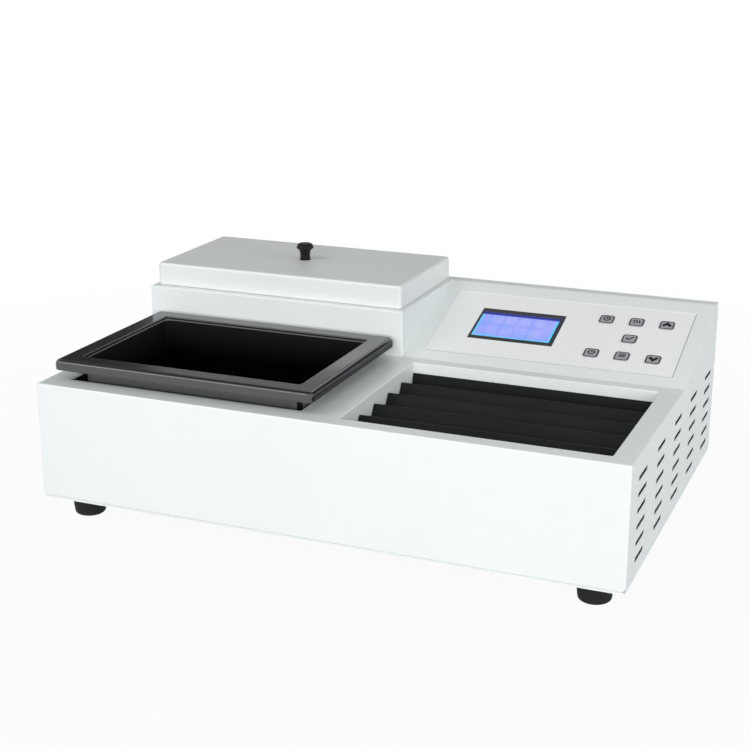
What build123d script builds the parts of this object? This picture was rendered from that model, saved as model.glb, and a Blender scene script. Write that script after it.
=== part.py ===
"""Tissue flotation bath: heated water bath, slide rack and lidded drying chamber in one cabinet.

All sizes are in millimetres. X runs to the right seen from the front, Y to the rear and Z up.
The origin is the centre of the cabinet's footprint on the table that the feet stand on.
"""
from build123d import *
import os
from math import atan2, cos, hypot, radians, sin, tan

os.makedirs("parts", exist_ok=True)

# Cabinet
cabinet_width = 510.0
cabinet_depth = 335.0
front_height = 101.0
riser_height = 41.0
sheet = 1.5
edge_radius = 1.3
lower_corner_radius = 4.0
riser_setback = 191.0
riser_width = 257.0
ridge_depth = 13.0
rear_recess = 4.0
base_sheet = 2.0
base_inset = 1.0

# Feet
foot_height = 19.0
foot_top_diameter = 30.5
foot_bottom_diameter = 26.0
foot_sole_radius = 3.0
foot_side_margin = 29.0
foot_end_margin = 26.0
foot_pocket_diameter = 11.0
foot_pocket_depth = 11.0

# Fixings
m4_shank_diameter = 3.8
m4_clearance_diameter = 4.4
m4_thread_diameter = 4.0
m4_head_diameter = 8.0
m4_head_height = 2.4
m4_length_in = 5.0
m3_shank_diameter = 2.9
m3_clearance_diameter = 3.2
m3_head_diameter = 5.4
m3_head_height = 1.2
m3_length = 5.0
weld_nut_radius = 4.0
weld_nut_height = 3.2
bracket_length = 30.0
bracket_leg = 13.0
bracket_hole_inset = 8.0
bracket_offset = 150.0
panel_screw_margin = 12.0
side_flange = 16.0
side_flange_gap = 5.5

# Louvres in both side walls
louvre_length = 29.0
louvre_height = 3.7
louvre_columns = 5
louvre_rows = 6
louvre_column_pitch = 65.7
louvre_row_pitch = 13.2
louvre_lowest = 15.3
louvre_setback = 172.0

# Bath hole, well and pan
bath_hole_width = 217.0
bath_hole_side_margin = 20.0
bath_hole_front_margin = 20.5
bath_hole_rear_margin = 16.5
hole_corner_radius = 1.5
well_sheet = 1.2
pan_height = 68.0
pan_wall = 2.2
pan_draft = 1.5
pan_rise = 19.2
pan_left_gap = 8.0
pan_right_gap = 3.0
pan_front_gap = 7.5
pan_rear_gap = 5.3
pan_corner_radius = 7.0
pan_floor_radius = 6.0
pan_inner_floor_radius = 4.4
rim_overhang = 17.4
rim_depth = 9.2
rim_corner_radius = 5.6
rim_shoulder_radius = 4.4
rim_lower_radius = 1.4
rim_skin = 3.0
rim_ledge_depth = 2.3
rim_ledge_width = 1.05
rim_opening_radius = 3.0
rim_inner_radius = 1.0

# Heating of the three zones
heater_plate_thickness = 4.0
heater_mat_thickness = 1.5
insulation_thickness = 8.0
heater_edge_gap = 6.0
heater_corner_radius = 4.0
thermostat_diameter = 16.0
thermostat_hole_diameter = 19.0
thermostat_height = 9.0

# Slide rack and its recess
deck_bridge = 36.0
rack_side_margin = 18.0
rack_front_margin = 15.0
rack_rear_margin = 13.0
rack_tray_sheet = 1.2
rack_fit_gap = 0.5
tooth_pitch = 31.2
tooth_height = 9.2
tooth_face = 5.4
tooth_peak_drop = 9.4
tooth_setback = 29.6
tooth_back_land = 1.2
tooth_peak_radius = 1.8
tooth_valley_radius = 1.2
rack_base_thickness = 3.0

# Drying chamber
lid_left_margin = 4.0
lid_right_margin = 5.0
lid_front_margin = 8.0
lid_rear_margin = 5.5
lid_height = 20.6
lid_seam = 0.4
lid_sheet = 1.2
lid_corner_radius = 3.5
lid_edge_radius = 2.6
chamber_rim = 12.0
chamber_corner_radius = 6.0
chamber_depth = 78.0
liner_sheet = 1.0
gasket_height = 2.0
gasket_width = 8.0
gasket_step = 1.0
hot_plate_gap = 2.0
plug_depth = 8.0
plug_gap = 1.5
tray_sheet = 1.0

# Lid knob
knob_height = 16.0
knob_base_height = 0.8
knob_stem_height = 5.5
knob_head_height = 11.4
knob_dome_step = 1.1
knob_base_diameter = 11.0
knob_waist_diameter = 9.6
knob_head_diameter = 16.4
knob_thread_depth = 8.0
knob_screw_pocket = 10.0

# Control fascia and keypad
overlay_left_margin = 15.8
overlay_right_margin = 13.5
overlay_lower_margin = 15.1
overlay_upper_margin = 18.0
overlay_film = 0.4
overlay_corner_radius = 1.5
key_size = 13.0
key_corner_radius = 2.6
key_edge_chamfer = 0.35
key_gap = 0.25
key_rise = 0.9
key_travel = 0.4
key_flange = 1.2
key_flange_thickness = 0.6
key_free_play = 0.1
key_column_pitch = 27.25
key_row_pitch = 28.05
key_right_inset = 21.8
key_lower_inset = 23.0

# Display
display_width = 78.6
display_length = 51.5
display_left_inset = 31.7
display_lower_inset = 26.5
display_gap = 0.3
display_sink = 0.2
bezel_left = 1.6
bezel_right = 3.9
bezel_lower = 5.2
bezel_upper = 7.2
bezel_sheet = 0.7
glass_thickness = 1.8
display_board_width = 93.0
display_board_length = 70.0

# Boards behind the fascia and on the base
board_thickness = 1.6
board_drop = 5.0
standoff_radius = 3.0
standoff_inset = 4.0
control_board_border = 15.0
switch_size = 6.0
switch_height = 3.5
switch_plunger_size = 3.2
component_edge_radius = 3.0
power_board_width = 160.0
power_board_length = 90.0
power_board_lift = 8.0
power_board_gap = 58.0
power_board_rear_gap = 42.0
board_margin = 6.0
transformer_size = (58.0, 48.0, 42.0)
relay_size = (19.0, 28.0, 17.0)
relay_pitch = 26.0

# Mains inlet and switch in the rear panel
inlet_height = 41.0
inlet_side_margin = 65.0
inlet_flange_width = 50.0
inlet_flange_height = 36.0
inlet_flange_thickness = 2.6
inlet_body_width = 27.0
inlet_body_height = 31.0
inlet_body_depth = 24.0
inlet_socket_width = 24.4
inlet_socket_height = 16.4
inlet_socket_depth = 16.0
inlet_socket_drop = 5.6
inlet_chamfer = 4.0
inlet_flange_corner = 4.0
inlet_screw_spacing = 40.0
pin_width = 2.0
pin_height = 4.0
pin_length = 10.5
pin_spacing = 14.0
pin_offset = 2.0
tab_thickness = 0.8
tab_width = 6.3
tab_length = 8.0
drawer_width = 20.0
drawer_height = 8.0
drawer_depth = 22.0
drawer_rise = 8.6
drawer_gap = 0.3
drawer_lip = 1.0
drawer_seam = 0.1
fuse_diameter = 5.0
fuse_length = 16.0
rocker_offset = 52.0
rocker_flange_width = 21.0
rocker_flange_height = 15.0
rocker_flange_thickness = 1.8
rocker_body_width = 18.8
rocker_body_height = 12.6
rocker_body_depth = 14.0
rocker_flange_corner = 1.5
rocker_width = 13.8
rocker_height = 9.0
rocker_side = 1.2
rocker_crown = 2.9
rocker_valley = 1.9
rocker_sweep = 7.5
rocker_gap = 0.2
rocker_pivot_depth = 2.4
rocker_stub_length = 1.0
rocker_pivot_radius = 1.2
rocker_pivot_play = 0.05
rocker_tilt = 9.0
panel_fit_gap = 0.2

# Places worked out from the sizes
left = -cabinet_width / 2
right = cabinet_width / 2
front = -cabinet_depth / 2
back = cabinet_depth / 2
base_top = foot_height + base_sheet
deck_top = base_top + front_height
rear_top = deck_top + riser_height
riser_front = front + riser_setback
riser_right = left + riser_width
ridge_front = back - ridge_depth
panel_rear = back - rear_recess
panel_inner = panel_rear - sheet

slope_run = ridge_front - riser_front
slope_angle = atan2(riser_height, slope_run)
slope_length = hypot(slope_run, riser_height)
fascia_plane = Plane(
    origin=(0, riser_front, deck_top),
    x_dir=(1, 0, 0),
    z_dir=(0, -sin(slope_angle), cos(slope_angle)),
)
fascia_axis = Axis(fascia_plane.origin, fascia_plane.z_dir)

bath_hole_depth = riser_setback - bath_hole_front_margin - bath_hole_rear_margin
bath_x = left + bath_hole_side_margin + bath_hole_width / 2
bath_y = front + bath_hole_front_margin + bath_hole_depth / 2
rack_hole_left = left + bath_hole_side_margin + bath_hole_width + deck_bridge
rack_hole_right = right - rack_side_margin
rack_hole_width = rack_hole_right - rack_hole_left
rack_hole_depth = riser_setback - rack_front_margin - rack_rear_margin
rack_x = (rack_hole_left + rack_hole_right) / 2
rack_y = front + rack_front_margin + rack_hole_depth / 2

lid_width = riser_width - lid_left_margin - lid_right_margin
lid_depth = back - riser_front - lid_front_margin - lid_rear_margin
lid_x = left + lid_left_margin + lid_width / 2
lid_y = riser_front + lid_front_margin + lid_depth / 2
chamber_width = lid_width - 2 * chamber_rim
chamber_length = lid_depth - 2 * chamber_rim

fixing_radius = m4_clearance_diameter / 2


def save(piece, name):
    """Label a finished piece and write it as its own file."""
    piece.part.label = name
    export_step(piece.part, f"parts/{name}.step")


def open_box(x, y, width, length, corner, wall, floor, bottom, top):
    """A box with rounded corners that is open at the top; width and length are its inside."""
    with BuildPart() as box:
        with BuildSketch(Plane.XY.offset(bottom)):
            with Locations((x, y)):
                RectangleRounded(width + 2 * wall, length + 2 * wall, corner + wall)
        extrude(amount=top - bottom)
        with BuildSketch(Plane.XY.offset(bottom + floor)):
            with Locations((x, y)):
                RectangleRounded(width, length, corner)
        extrude(amount=top - bottom - floor, mode=Mode.SUBTRACT)
    return box


def slab(x, y, width, length, corner, bottom, thickness, hole_diameter=0.0):
    """A flat plate with rounded corners and, if asked for, a round hole in its middle."""
    with BuildPart() as plate:
        with BuildSketch(Plane.XY.offset(bottom)):
            with Locations((x, y)):
                RectangleRounded(width, length, corner)
                if hole_diameter:
                    Circle(hole_diameter / 2, mode=Mode.SUBTRACT)
        extrude(amount=thickness)
    return plate


# Front wall, with the folded edge all round its face
with BuildPart() as front_panel:
    with BuildSketch(Plane.XZ.offset(-front)) as outline:
        with Locations((0, base_top + front_height / 2)):
            Rectangle(cabinet_width, front_height)
        fillet(outline.vertices().group_by(Axis.Y)[0], lower_corner_radius)
    extrude(amount=-sheet)
    fillet(front_panel.faces().sort_by(Axis.Y)[0].edges(), edge_radius)
save(front_panel, "front_panel")

# Side walls with louvres: the left one steps up beside the chamber, the right one slopes
left_outline = [
    (front + sheet, base_top),
    (back, base_top),
    (back, rear_top),
    (riser_front, rear_top),
    (riser_front, deck_top),
    (front + sheet, deck_top),
]
right_outline = [
    (front + sheet, base_top),
    (back, base_top),
    (back, rear_top),
    (ridge_front, rear_top),
    (riser_front, deck_top),
    (front + sheet, deck_top),
]
panel_screw_x = cabinet_width / 2 - panel_screw_margin
panel_screw_heights = [
    base_top + panel_screw_margin,
    (base_top + rear_top) / 2,
    rear_top - panel_screw_margin,
]
louvre_y = front + louvre_setback
louvre_z = base_top + louvre_lowest + louvre_row_pitch * (louvre_rows - 1) / 2
for name, side, inner_x, points in (
    ("left_side_panel", -1, left, left_outline),
    ("right_side_panel", 1, right - sheet, right_outline),
):
    with BuildPart() as side_panel:
        with BuildSketch(Plane.YZ.offset(inner_x)) as outline:
            with BuildLine():
                Polyline(*points, close=True)
            make_face()
            fillet(outline.vertices().group_by(Axis.Y)[0], lower_corner_radius)
            with Locations((louvre_y, louvre_z)):
                with GridLocations(
                    louvre_column_pitch, louvre_row_pitch, louvre_columns, louvre_rows
                ):
                    SlotOverall(louvre_length, louvre_height, mode=Mode.SUBTRACT)
        extrude(amount=sheet)
        outer_face = side_panel.faces().sort_by(Axis((0, 0, 0), (side, 0, 0)))[-1]
        top_edges = outer_face.edges().filter_by(lambda edge: edge.center().Z > deck_top - 1)
        fillet(top_edges, edge_radius)
        with BuildSketch(Plane.XZ.offset(-panel_inner)):
            with Locations((side * (right - sheet - side_flange / 2), (base_top + rear_top) / 2)):
                Rectangle(side_flange, rear_top - base_top - 2 * side_flange_gap)
            with Locations(*[(side * panel_screw_x, z) for z in panel_screw_heights]):
                Circle(m3_shank_diameter / 2, mode=Mode.SUBTRACT)
        extrude(amount=sheet)
    save(side_panel, name)

# Deck with the bath hole and the rack hole
with BuildPart() as deck_plate:
    with BuildSketch(Plane.XY.offset(deck_top - sheet)):
        with Locations((0, (front + sheet + riser_front) / 2)):
            Rectangle(cabinet_width - 2 * sheet, riser_setback - sheet)
        with Locations((bath_x, bath_y)):
            RectangleRounded(
                bath_hole_width, bath_hole_depth, hole_corner_radius, mode=Mode.SUBTRACT
            )
        with Locations((rack_x, rack_y)):
            RectangleRounded(
                rack_hole_width, rack_hole_depth, hole_corner_radius, mode=Mode.SUBTRACT
            )
    extrude(amount=sheet)
    hole_edges = deck_plate.faces().sort_by(Axis.Z)[-1].inner_wires().edges()
    fillet(hole_edges, edge_radius / 2)
save(deck_plate, "deck_plate")

# Raised surround of the drying chamber: front wall, right wall and top with its opening
with BuildPart() as chamber_surround:
    with BuildSketch(Plane.XZ.offset(-riser_front)):
        with Locations(((left + sheet + riser_right) / 2, (deck_top - sheet + rear_top) / 2)):
            Rectangle(riser_width - sheet, riser_height + sheet)
    extrude(amount=-sheet)
    with BuildSketch(Plane.YZ.offset(riser_right - sheet)):
        with Locations(((riser_front + panel_inner) / 2, (deck_top - sheet + rear_top) / 2)):
            Rectangle(panel_inner - riser_front, riser_height + sheet)
    extrude(amount=sheet)
    with BuildSketch(Plane.XY.offset(rear_top - sheet)):
        with Locations(((left + sheet + riser_right) / 2, (riser_front + back) / 2)):
            Rectangle(riser_width - sheet, back - riser_front)
        with Locations((lid_x, lid_y)):
            RectangleRounded(
                chamber_width, chamber_length, chamber_corner_radius, mode=Mode.SUBTRACT
            )
    extrude(amount=sheet)
    folds = chamber_surround.edges().filter_by(
        lambda edge: (
            abs(edge.center().Y - riser_front) < 0.01 and abs(edge.center().Z - rear_top) < 0.01
        )
        or (abs(edge.center().Y - riser_front) < 0.01 and abs(edge.center().X - riser_right) < 0.01)
        or (abs(edge.center().Y - back) < 0.01 and abs(edge.center().Z - rear_top) < 0.01)
    )
    fillet(folds, edge_radius)
save(chamber_surround, "chamber_surround")

# Places of the display and the keys on the slope, measured up it from the deck
overlay_left = riser_right + overlay_left_margin
overlay_right = right - overlay_right_margin
overlay_width = overlay_right - overlay_left
overlay_length = slope_length - overlay_lower_margin - overlay_upper_margin
overlay_centre = (
    (overlay_left + overlay_right) / 2,
    overlay_lower_margin + overlay_length / 2,
)
display_centre = (
    overlay_left + display_left_inset + display_width / 2,
    overlay_lower_margin + display_lower_inset + display_length / 2,
)
key_columns = [overlay_right - key_right_inset - key_column_pitch * step for step in (2, 1, 0)]
key_rows = [overlay_lower_margin + key_lower_inset + key_row_pitch * step for step in (0, 1, 2)]
key_places = {
    "key_lower_left": (key_columns[0], key_rows[0]),
    "key_lower_middle": (key_columns[1], key_rows[0]),
    "key_down": (key_columns[2], key_rows[0]),
    "key_centre": (key_columns[1], key_rows[1]),
    "key_upper_left": (key_columns[0], key_rows[2]),
    "key_upper_middle": (key_columns[1], key_rows[2]),
    "key_up": (key_columns[2], key_rows[2]),
}
key_opening = key_size + 2 * key_gap
key_opening_radius = key_corner_radius + key_gap

# Sloping control fascia with its flat ridge
half_bend = slope_angle / 2
with BuildPart() as control_fascia:
    with BuildSketch(Plane.YZ.offset(riser_right)):
        with BuildLine():
            Polyline(
                (riser_front, deck_top),
                (ridge_front, rear_top),
                (back, rear_top),
                (back, rear_top - sheet),
                (ridge_front + sheet * tan(half_bend), rear_top - sheet),
                (riser_front, deck_top - sheet / cos(slope_angle)),
                close=True,
            )
        make_face()
    extrude(amount=right - sheet - riser_right)
    rear_fold = control_fascia.edges().filter_by(Axis.X).group_by(Axis.Y)[-1].sort_by(Axis.Z)[-1]
    fillet(rear_fold, edge_radius)
    with BuildSketch(fascia_plane):
        with Locations(display_centre):
            Rectangle(display_width + 2 * display_gap, display_length + 2 * display_gap)
        with Locations(*key_places.values()):
            RectangleRounded(key_opening, key_opening, key_opening_radius)
    extrude(amount=2 * sheet, both=True, mode=Mode.SUBTRACT)
save(control_fascia, "control_fascia")

# Printed overlay film, open over the display and the keys
with BuildPart() as keypad_overlay:
    with BuildSketch(fascia_plane):
        with Locations(overlay_centre):
            RectangleRounded(overlay_width, overlay_length, overlay_corner_radius)
        with Locations(display_centre):
            Rectangle(
                display_width + 2 * display_gap,
                display_length + 2 * display_gap,
                mode=Mode.SUBTRACT,
            )
        with Locations(*key_places.values()):
            RectangleRounded(key_opening, key_opening, key_opening_radius, mode=Mode.SUBTRACT)
    extrude(amount=overlay_film)
save(keypad_overlay, "keypad_overlay")

# Keys: a cap through the fascia and a flange behind it that keeps the cap in
flange_top = -sheet - key_free_play
for name, place in key_places.items():
    with BuildPart() as key:
        with BuildSketch(fascia_plane.offset(flange_top)):
            with Locations(place):
                RectangleRounded(key_size, key_size, key_corner_radius)
        extrude(amount=key_rise - flange_top)
        chamfer(key.faces().sort_by(fascia_axis)[-1].edges(), key_edge_chamfer)
        with BuildSketch(fascia_plane.offset(flange_top - key_flange_thickness)):
            with Locations(place):
                Rectangle(key_size + 2 * key_flange, key_size + 2 * key_flange)
        extrude(amount=key_flange_thickness)
    save(key, name)

# Key switches, control board and display board behind the fascia
board_top = -sheet - board_drop
plunger_top = flange_top - key_flange_thickness - key_travel - key_free_play
control_board_centre = (key_columns[1], key_rows[1])
control_board_width = 2 * (key_column_pitch + control_board_border)
control_board_length = 2 * (key_row_pitch + control_board_border)

with BuildPart() as key_switches:
    with BuildSketch(fascia_plane.offset(board_top)):
        with Locations(*key_places.values()):
            Rectangle(switch_size, switch_size)
    extrude(amount=switch_height)
    with BuildSketch(fascia_plane.offset(board_top + switch_height)):
        with Locations(*key_places.values()):
            Rectangle(switch_plunger_size, switch_plunger_size)
    extrude(amount=plunger_top - board_top - switch_height)
save(key_switches, "key_switches")


def board(plane, centre, width, length):
    """A circuit board whose upper face lies on the plane."""
    with BuildPart() as plate:
        with BuildSketch(plane):
            with Locations(centre):
                Rectangle(width, length)
        extrude(amount=-board_thickness)
    return plate


board_plane = fascia_plane.offset(board_top)
power_board_plane = Plane.XY.offset(base_top + power_board_lift + board_thickness)
power_board_centre = (
    riser_right + power_board_gap + power_board_width / 2,
    panel_inner - power_board_rear_gap - power_board_length / 2,
)
control_board = board(
    board_plane, control_board_centre, control_board_width, control_board_length
)
save(control_board, "control_board")
display_board = board(board_plane, display_centre, display_board_width, display_board_length)
save(display_board, "display_board")
power_board = board(
    power_board_plane, power_board_centre, power_board_width, power_board_length
)
save(power_board, "power_board")

# Hexagonal standoffs near the corners of each board
with BuildPart() as board_standoffs:
    for plane, centre, width, length, height in (
        (
            board_plane,
            control_board_centre,
            control_board_width,
            control_board_length,
            board_drop,
        ),
        (
            board_plane,
            display_centre,
            display_board_width,
            display_board_length,
            board_drop,
        ),
        (
            Plane.XY.offset(base_top),
            power_board_centre,
            power_board_width,
            power_board_length,
            power_board_lift,
        ),
    ):
        with BuildSketch(plane):
            with Locations(centre):
                with GridLocations(width - 2 * standoff_inset, length - 2 * standoff_inset, 2, 2):
                    RegularPolygon(standoff_radius, 6)
        extrude(amount=height)
save(board_standoffs, "board_standoffs")

# Display: bezel frame round the glass, with the backlight between the glass and its board
bezel_top = overlay_film - display_sink
glass_top = bezel_top - bezel_sheet
glass_bottom = glass_top - glass_thickness
window_centre = (
    display_centre[0] + (bezel_left - bezel_right) / 2,
    display_centre[1] + (bezel_lower - bezel_upper) / 2,
)
with BuildPart() as display_bezel:
    with BuildSketch(board_plane):
        with Locations(display_centre):
            Rectangle(display_width, display_length)
    extrude(amount=bezel_top - board_top)
    with BuildSketch(board_plane):
        with Locations(display_centre):
            Rectangle(display_width - 2 * bezel_sheet, display_length - 2 * bezel_sheet)
    extrude(amount=glass_top - board_top, mode=Mode.SUBTRACT)
    with BuildSketch(board_plane):
        with Locations(window_centre):
            Rectangle(
                display_width - bezel_left - bezel_right,
                display_length - bezel_lower - bezel_upper,
            )
    extrude(amount=bezel_top - board_top, mode=Mode.SUBTRACT)
save(display_bezel, "display_bezel")

glass_width = display_width - 2 * bezel_sheet
glass_length = display_length - 2 * bezel_sheet
for name, bottom, top in (
    ("display_glass", glass_bottom, glass_top),
    ("display_backlight", board_top, glass_bottom),
):
    with BuildPart() as pane:
        with BuildSketch(fascia_plane.offset(bottom)):
            with Locations(display_centre):
                Rectangle(glass_width, glass_length)
        extrude(amount=top - bottom)
    save(pane, name)

# Transformer and relays on the power board
with BuildPart() as transformer:
    with Locations(
        (
            power_board_centre[0] - power_board_width / 2 + transformer_size[0] / 2 + board_margin,
            power_board_centre[1],
            power_board_plane.origin.Z,
        )
    ):
        Box(*transformer_size, align=(Align.CENTER, Align.CENTER, Align.MIN))
    fillet(transformer.edges().filter_by(Axis.Z), component_edge_radius)
save(transformer, "transformer")

with BuildPart() as relays:
    for step in range(3):
        with Locations(
            (
                power_board_centre[0] + power_board_width / 2 - relay_size[0] - relay_pitch * step,
                power_board_centre[1],
                power_board_plane.origin.Z,
            )
        ):
            Box(*relay_size, align=(Align.CENTER, Align.CENTER, Align.MIN))
save(relays, "relays")

# Bath well with its heating, up to the plate that the pan stands on
pan_top = deck_top + pan_rise
pan_bottom = pan_top - pan_height
bath_mat_top = pan_bottom - heater_plate_thickness
bath_mat_bottom = bath_mat_top - heater_mat_thickness
well_bottom = bath_mat_bottom - insulation_thickness - well_sheet
bath_well = open_box(
    bath_x,
    bath_y,
    bath_hole_width,
    bath_hole_depth,
    hole_corner_radius,
    well_sheet,
    well_sheet,
    well_bottom,
    deck_top - sheet,
)
save(bath_well, "bath_well")

bath_heated_width = bath_hole_width - 2 * heater_edge_gap
bath_heated_length = bath_hole_depth - 2 * heater_edge_gap
bath_heater_plate = slab(
    bath_x,
    bath_y,
    bath_heated_width,
    bath_heated_length,
    heater_corner_radius,
    bath_mat_top,
    heater_plate_thickness,
)
save(bath_heater_plate, "bath_heater_plate")
bath_heater_mat = slab(
    bath_x,
    bath_y,
    bath_heated_width,
    bath_heated_length,
    heater_corner_radius,
    bath_mat_bottom,
    heater_mat_thickness,
    thermostat_hole_diameter,
)
save(bath_heater_mat, "bath_heater_mat")
bath_insulation = slab(
    bath_x,
    bath_y,
    bath_heated_width,
    bath_heated_length,
    heater_corner_radius,
    bath_mat_bottom - insulation_thickness,
    insulation_thickness,
    thermostat_hole_diameter,
)
save(bath_insulation, "bath_insulation")

# Bath pan: drafted body under a rim that is rolled down at its outer edge
pan_body_width = bath_hole_width - pan_left_gap - pan_right_gap
pan_body_length = bath_hole_depth - pan_front_gap - pan_rear_gap
pan_x = bath_x - bath_hole_width / 2 + pan_left_gap + pan_body_width / 2
pan_y = bath_y - bath_hole_depth / 2 + pan_front_gap + pan_body_length / 2
draft_growth = 2 * tan(radians(pan_draft))
pan_foot_shrink = draft_growth * (deck_top - pan_bottom)
rim_width = pan_body_width + 2 * rim_overhang
rim_length = pan_body_length + 2 * rim_overhang
rim_bottom = pan_top - rim_depth
ledge_top = pan_top - rim_ledge_depth
cavity_growth = draft_growth * (ledge_top - deck_top) - 2 * pan_wall
cavity_width = pan_body_width + cavity_growth
cavity_length = pan_body_length + cavity_growth
cavity_depth = ledge_top - pan_bottom - pan_wall
with BuildPart() as pan_cavity:
    with BuildSketch(Plane.XY.offset(pan_bottom + pan_wall)):
        with Locations((pan_x, pan_y)):
            RectangleRounded(
                cavity_width - draft_growth * cavity_depth,
                cavity_length - draft_growth * cavity_depth,
                pan_corner_radius - pan_wall,
            )
    extrude(amount=cavity_depth, taper=-pan_draft)
    fillet(pan_cavity.faces().sort_by(Axis.Z)[0].edges(), pan_inner_floor_radius)

with BuildPart() as bath_pan:
    with BuildSketch(Plane.XY.offset(pan_bottom)):
        with Locations((pan_x, pan_y)):
            RectangleRounded(
                pan_body_width - pan_foot_shrink,
                pan_body_length - pan_foot_shrink,
                pan_corner_radius,
            )
    extrude(amount=pan_height, taper=-pan_draft)
    fillet(bath_pan.faces().sort_by(Axis.Z)[0].edges(), pan_floor_radius)
    with BuildSketch(Plane.XY.offset(rim_bottom)):
        with Locations((pan_x, pan_y)):
            RectangleRounded(rim_width, rim_length, rim_corner_radius)
    extrude(amount=rim_depth)
    fillet(bath_pan.faces().sort_by(Axis.Z)[-1].edges(), rim_shoulder_radius)
    rim_underside = bath_pan.faces().filter_by(Axis.Z).sort_by(
        lambda face: abs(face.center().Z - rim_bottom)
    )[0]
    fillet(rim_underside.outer_wire().edges(), rim_lower_radius)
    with BuildSketch(Plane.XY.offset(rim_bottom)):
        with Locations((pan_x, pan_y)):
            RectangleRounded(
                rim_width - 2 * rim_skin,
                rim_length - 2 * rim_skin,
                rim_corner_radius - rim_skin,
            )
            RectangleRounded(
                pan_body_width + draft_growth * pan_rise,
                pan_body_length + draft_growth * pan_rise,
                pan_corner_radius,
                mode=Mode.SUBTRACT,
            )
    extrude(amount=rim_depth - rim_skin, mode=Mode.SUBTRACT)
    with BuildSketch(Plane.XY.offset(ledge_top)):
        with Locations((pan_x, pan_y)):
            RectangleRounded(
                cavity_width + 2 * rim_ledge_width,
                cavity_length + 2 * rim_ledge_width,
                rim_opening_radius,
            )
    extrude(amount=rim_ledge_depth, mode=Mode.SUBTRACT)
    fillet(bath_pan.faces().sort_by(Axis.Z)[-1].inner_wires().edges(), rim_inner_radius)
    add(pan_cavity.part, mode=Mode.SUBTRACT)
save(bath_pan, "bath_pan")

# Recess of the slide rack with its heating glued below
rack_bottom = deck_top - tooth_peak_drop - tooth_height - rack_base_thickness
rack_tray_bottom = rack_bottom - rack_tray_sheet
rack_tray = open_box(
    rack_x,
    rack_y,
    rack_hole_width,
    rack_hole_depth,
    hole_corner_radius,
    rack_tray_sheet,
    rack_tray_sheet,
    rack_tray_bottom,
    deck_top - sheet,
)
save(rack_tray, "rack_tray")
rack_heated_width = rack_hole_width - 2 * heater_edge_gap
rack_heated_length = rack_hole_depth - 2 * heater_edge_gap
rack_mat_bottom = rack_tray_bottom - heater_mat_thickness
rack_heater_mat = slab(
    rack_x,
    rack_y,
    rack_heated_width,
    rack_heated_length,
    heater_corner_radius,
    rack_mat_bottom,
    heater_mat_thickness,
    thermostat_hole_diameter,
)
save(rack_heater_mat, "rack_heater_mat")
rack_insulation = slab(
    rack_x,
    rack_y,
    rack_heated_width,
    rack_heated_length,
    heater_corner_radius,
    rack_mat_bottom - insulation_thickness,
    insulation_thickness,
    thermostat_hole_diameter,
)
save(rack_insulation, "rack_insulation")

# Slide rack: a sawtooth whose steep faces look forward and whose ramps carry the slides
rack_back = rack_y + rack_hole_depth / 2 - rack_fit_gap
rack_front = rack_y - rack_hole_depth / 2 + rack_fit_gap
rack_width = rack_hole_width - 2 * rack_fit_gap
peak_z = deck_top - tooth_peak_drop
valley_z = peak_z - tooth_height
first_peak = rack_back - tooth_setback
tooth_count = int((first_peak - tooth_face - rack_front) / tooth_pitch) + 1
profile = [(rack_back, rack_bottom), (rack_back, peak_z), (rack_back - tooth_back_land, peak_z)]
for tooth in range(tooth_count):
    peak_y = first_peak - tooth * tooth_pitch
    profile.append((peak_y + tooth_pitch - tooth_face, valley_z))
    profile.append((peak_y, peak_z))
profile.append((peak_y - tooth_face, valley_z))
profile.append((rack_front, valley_z))
profile.append((rack_front, rack_bottom))
with BuildPart() as slide_rack:
    with BuildSketch(Plane.YZ.offset(rack_x - rack_width / 2)) as outline:
        with BuildLine():
            Polyline(*profile, close=True)
        make_face()
        inner_corners = outline.vertices().filter_by(
            lambda corner: rack_front + 0.1 < corner.X < rack_back - tooth_back_land - 0.1
        )
        fillet(inner_corners.group_by(Axis.Y)[-1], tooth_peak_radius)
        fillet(inner_corners.group_by(Axis.Y)[0], tooth_valley_radius)
    extrude(amount=rack_width)
save(slide_rack, "slide_rack")

# Drying chamber: liner, hot plate, heater mat, insulation blanket and the seal on its rim
liner_bottom = rear_top - chamber_depth - liner_sheet
chamber_liner = open_box(
    lid_x,
    lid_y,
    chamber_width,
    chamber_length,
    chamber_corner_radius,
    liner_sheet,
    liner_sheet,
    liner_bottom,
    rear_top - sheet,
)
save(chamber_liner, "chamber_liner")
chamber_hot_plate = slab(
    lid_x,
    lid_y,
    chamber_width - 2 * hot_plate_gap,
    chamber_length - 2 * hot_plate_gap,
    heater_corner_radius,
    liner_bottom + liner_sheet,
    heater_plate_thickness,
)
save(chamber_hot_plate, "chamber_hot_plate")
chamber_mat_bottom = liner_bottom - heater_mat_thickness
chamber_heater_mat = slab(
    lid_x,
    lid_y,
    chamber_width - 2 * heater_edge_gap,
    chamber_length - 2 * heater_edge_gap,
    heater_corner_radius,
    chamber_mat_bottom,
    heater_mat_thickness,
    thermostat_hole_diameter,
)
save(chamber_heater_mat, "chamber_heater_mat")
with BuildPart() as chamber_insulation:
    add(
        open_box(
            lid_x,
            lid_y,
            chamber_width + 2 * liner_sheet,
            chamber_length + 2 * liner_sheet,
            chamber_corner_radius + liner_sheet,
            insulation_thickness,
            insulation_thickness,
            chamber_mat_bottom - insulation_thickness,
            rear_top - sheet,
        ).part
    )
    with Locations((lid_x, lid_y, chamber_mat_bottom - insulation_thickness / 2)):
        Cylinder(thermostat_hole_diameter / 2, insulation_thickness, mode=Mode.SUBTRACT)
save(chamber_insulation, "chamber_insulation")
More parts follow.
